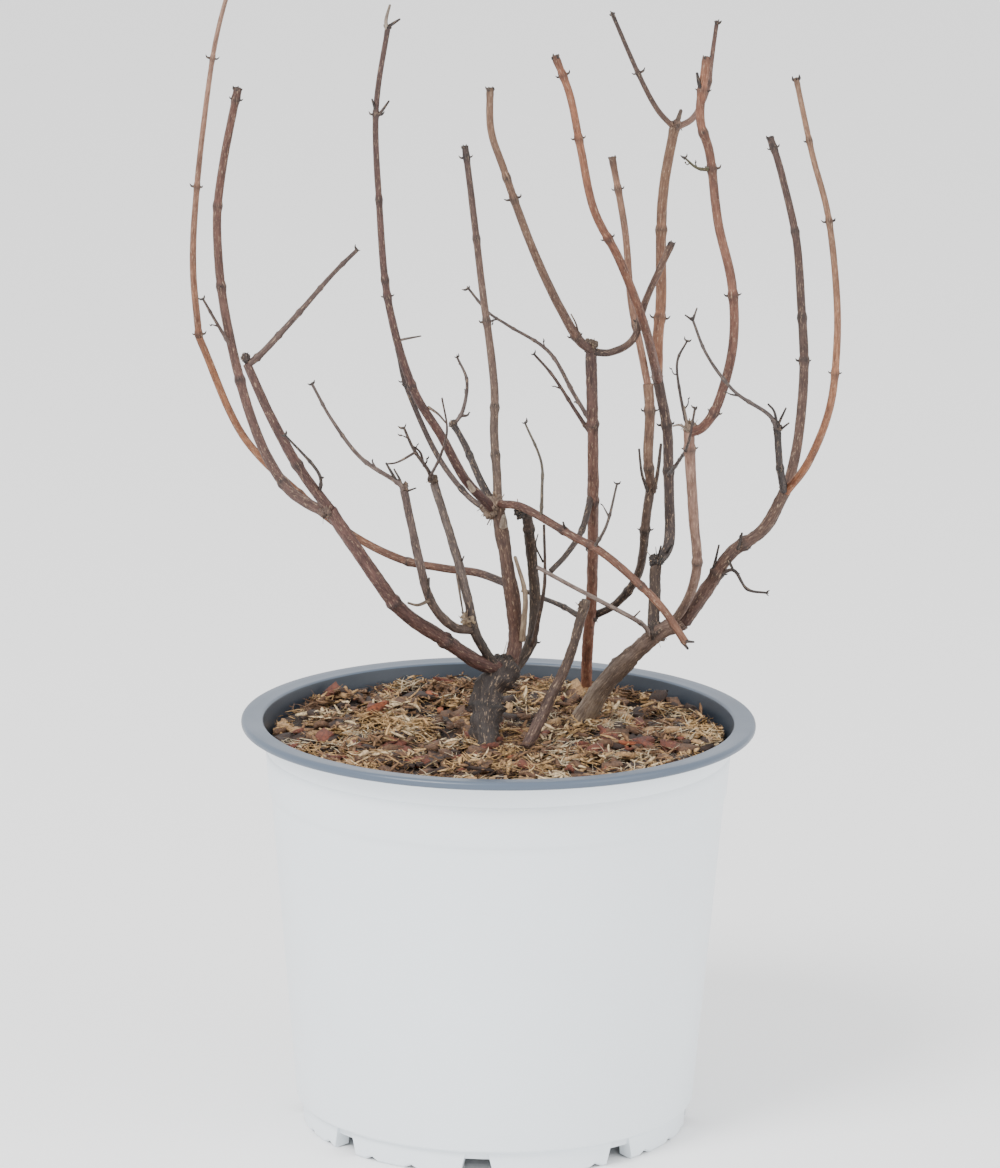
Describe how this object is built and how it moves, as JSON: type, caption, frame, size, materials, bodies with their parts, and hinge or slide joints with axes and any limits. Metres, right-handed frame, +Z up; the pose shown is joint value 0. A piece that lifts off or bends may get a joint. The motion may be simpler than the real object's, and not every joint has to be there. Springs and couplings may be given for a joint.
{
  "type": "potted smooth hydrangea",
  "caption": "Bare winter shrub with forking upright canes and fine side twigs, rooted in bark mulch in a round nursery pot with a wide rolled rim.",
  "frame": {"origin": "centre of the pot's flat underside", "axes": "+Z up, -Y towards the front of the plant as pictured, +X to the right"},
  "size_m": [0.2818, 0.226, 0.51],
  "materials": {
    "pot": "satin",
    "mulch": "matte",
    "bark": "matte",
    "twig": "matte"
  },
  "bodies": {
    "root": {"pot": "pot", "growing_medium": "mulch", "stump": "bark", "stem_right": "bark", "stem_back": "bark", "stem_slender": "bark", "stem_middle": "bark", "stem_middle_right": "bark", "stem_left": "bark", "stem_left_inner": "bark", "stem_left_front": "bark", "stem_upright": "bark", "stem_pale": "bark", "bough_left": "bark", "bough_far_left": "bark", "bough_crossing": "bark", "bough_slender": "bark", "bough_inner": "bark", "bough_right": "bark", "bough_upright": "bark", "bough_dark": "bark", "bough_tan": "bark", "bough_grey": "bark", "cane_left": "bark", "cane_far_left": "bark", "cane_centre_left": "bark", "cane_thin_left": "bark", "cane_dark": "bark", "cane_centre": "bark", "cane_back_left": "bark", "cane_back_right": "bark", "cane_right": "bark", "cane_far_right": "bark", "cane_right_short": "bark", "cane_upright": "bark", "cane_upright_left": "bark", "cane_upright_right": "bark", "cane_orange": "bark", "cane_tan": "bark", "cane_curved": "bark", "twigs_far_left": "twig", "twigs_left": "twig", "twigs_cane_left": "twig", "twigs_inner": "twig", "twigs_front": "twig", "twigs_dark": "twig", "twigs_crossing": "twig", "twigs_crossing_right": "twig", "twigs_back": "twig", "twigs_back_long": "twig", "twigs_pale": "twig", "twigs_upright": "twig", "twigs_curved": "twig", "twigs_right": "twig", "twigs_under": "twig"}
  },
  "joints": []
}
